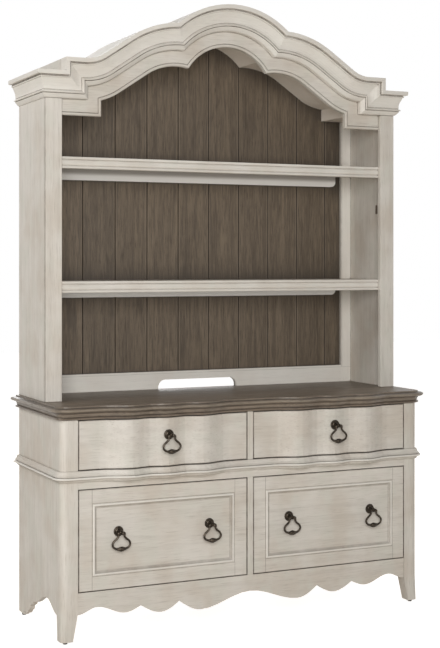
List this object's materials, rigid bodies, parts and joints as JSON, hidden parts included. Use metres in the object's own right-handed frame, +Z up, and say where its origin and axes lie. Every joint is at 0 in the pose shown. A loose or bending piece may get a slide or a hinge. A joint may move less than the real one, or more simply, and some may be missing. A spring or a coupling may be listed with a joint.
{
  "type": "credenza with hutch",
  "caption": "Painted credenza with serpentine upper drawers, framed lower drawers and drop-ring pulls, under an open shelved hutch with a plank back and an arched crown.",
  "frame": {"origin": "on the floor, at the centre of the bounding box's bottom", "axes": "+Z up, the drawers open towards -Y, +X to the right of somebody facing the front"},
  "size_m": [1.4726, 0.5558, 2.1929],
  "materials": {
    "white_paint": "antique white paint, rubbed and glazed",
    "plank_stain": "weathered dark brown stain",
    "counter_stain": "dark grey-brown stain, satin",
    "drawer_wood": "bare wood",
    "dark_bronze": "dark bronze",
    "dark_plastic": "matte"
  },
  "bodies": {
    "carcass": {"arch_soffit": "white_paint", "back_frame": "white_paint", "back_planks": "plank_stain", "base_back": "drawer_wood", "base_bottom": "drawer_wood", "base_side_left": "white_paint", "base_side_right": "white_paint", "center_divider": "white_paint", "countertop": "counter_stain", "crown_molding": "white_paint", "drawer_guide_left": "drawer_wood", "drawer_guide_right": "drawer_wood", "drawer_runner_left_inner": "drawer_wood", "drawer_runner_left_outer": "drawer_wood", "drawer_runner_right_inner": "drawer_wood", "drawer_runner_right_outer": "drawer_wood", "foot_glide_front_left": "dark_plastic", "foot_glide_front_right": "dark_plastic", "foot_glide_rear_left": "dark_plastic", "foot_glide_rear_right": "dark_plastic", "frieze_board": "white_paint", "front_apron": "white_paint", "front_leg_left": "white_paint", "front_leg_right": "white_paint", "hutch_post_left": "white_paint", "hutch_post_right": "white_paint", "hutch_roof": "white_paint", "hutch_side_left": "white_paint", "hutch_side_right": "white_paint", "light_touch_plate": "dark_plastic", "rear_leg_left": "white_paint", "rear_leg_right": "white_paint", "shelf_cleat_lower": "white_paint", "shelf_cleat_upper": "white_paint", "shelf_edge_lower": "white_paint", "shelf_edge_upper": "white_paint", "shelf_lower": "white_paint", "shelf_upper": "white_paint", "waist_molding": "white_paint", "waist_rail": "white_paint"},
    "upper_drawer_left": {"upper_drawer_front_left": "white_paint", "upper_drawer_box_left": "drawer_wood", "pull_post_upper_left": "dark_bronze"},
    "ring_upper_left": {"pull_ring_upper_left": "dark_bronze"},
    "lower_drawer_left": {"lower_drawer_front_left": "white_paint", "lower_drawer_box_left": "drawer_wood", "pull_post_lower_left_inner": "dark_bronze", "pull_post_lower_left_outer": "dark_bronze"},
    "ring_lower_left_inner": {"pull_ring_lower_left_inner": "dark_bronze"},
    "ring_lower_left_outer": {"pull_ring_lower_left_outer": "dark_bronze"},
    "upper_drawer_right": {"upper_drawer_front_right": "white_paint", "upper_drawer_box_right": "drawer_wood", "pull_post_upper_right": "dark_bronze"},
    "ring_upper_right": {"pull_ring_upper_right": "dark_bronze"},
    "lower_drawer_right": {"lower_drawer_front_right": "white_paint", "lower_drawer_box_right": "drawer_wood", "pull_post_lower_right_inner": "dark_bronze", "pull_post_lower_right_outer": "dark_bronze"},
    "ring_lower_right_inner": {"pull_ring_lower_right_inner": "dark_bronze"},
    "ring_lower_right_outer": {"pull_ring_lower_right_outer": "dark_bronze"}
  },
  "joints": [
    {"name": "upper_drawer_left_slide", "type": "slide", "parent": "carcass", "child": "upper_drawer_left", "axis": [0, -1, 0], "range_m": [0, 0.3]},
    {"name": "pull_ring_upper_left_swing", "type": "hinge", "parent": "upper_drawer_left", "child": "ring_upper_left", "pos_m": [-0.324, -0.25645, 0.68205], "axis": [-1, 0, 0], "range_deg": [-17, 100]},
    {"name": "lower_drawer_left_slide", "type": "slide", "parent": "carcass", "child": "lower_drawer_left", "axis": [0, -1, 0], "range_m": [0, 0.3]},
    {"name": "pull_ring_lower_left_inner_swing", "type": "hinge", "parent": "lower_drawer_left", "child": "ring_lower_left_inner", "pos_m": [-0.156, -0.21918, 0.3613], "axis": [-1, 0, 0], "range_deg": [-17, 100]},
    {"name": "pull_ring_lower_left_outer_swing", "type": "hinge", "parent": "lower_drawer_left", "child": "ring_lower_left_outer", "pos_m": [-0.492, -0.21918, 0.3613], "axis": [-1, 0, 0], "range_deg": [-17, 100]},
    {"name": "upper_drawer_right_slide", "type": "slide", "parent": "carcass", "child": "upper_drawer_right", "axis": [0, -1, 0], "range_m": [0, 0.3]},
    {"name": "pull_ring_upper_right_swing", "type": "hinge", "parent": "upper_drawer_right", "child": "ring_upper_right", "pos_m": [0.324, -0.25645, 0.68205], "axis": [-1, 0, 0], "range_deg": [-17, 100]},
    {"name": "lower_drawer_right_slide", "type": "slide", "parent": "carcass", "child": "lower_drawer_right", "axis": [0, -1, 0], "range_m": [0, 0.3]},
    {"name": "pull_ring_lower_right_inner_swing", "type": "hinge", "parent": "lower_drawer_right", "child": "ring_lower_right_inner", "pos_m": [0.156, -0.21918, 0.3613], "axis": [-1, 0, 0], "range_deg": [-17, 100]},
    {"name": "pull_ring_lower_right_outer_swing", "type": "hinge", "parent": "lower_drawer_right", "child": "ring_lower_right_outer", "pos_m": [0.492, -0.21918, 0.3613], "axis": [-1, 0, 0], "range_deg": [-17, 100]}
  ]
}
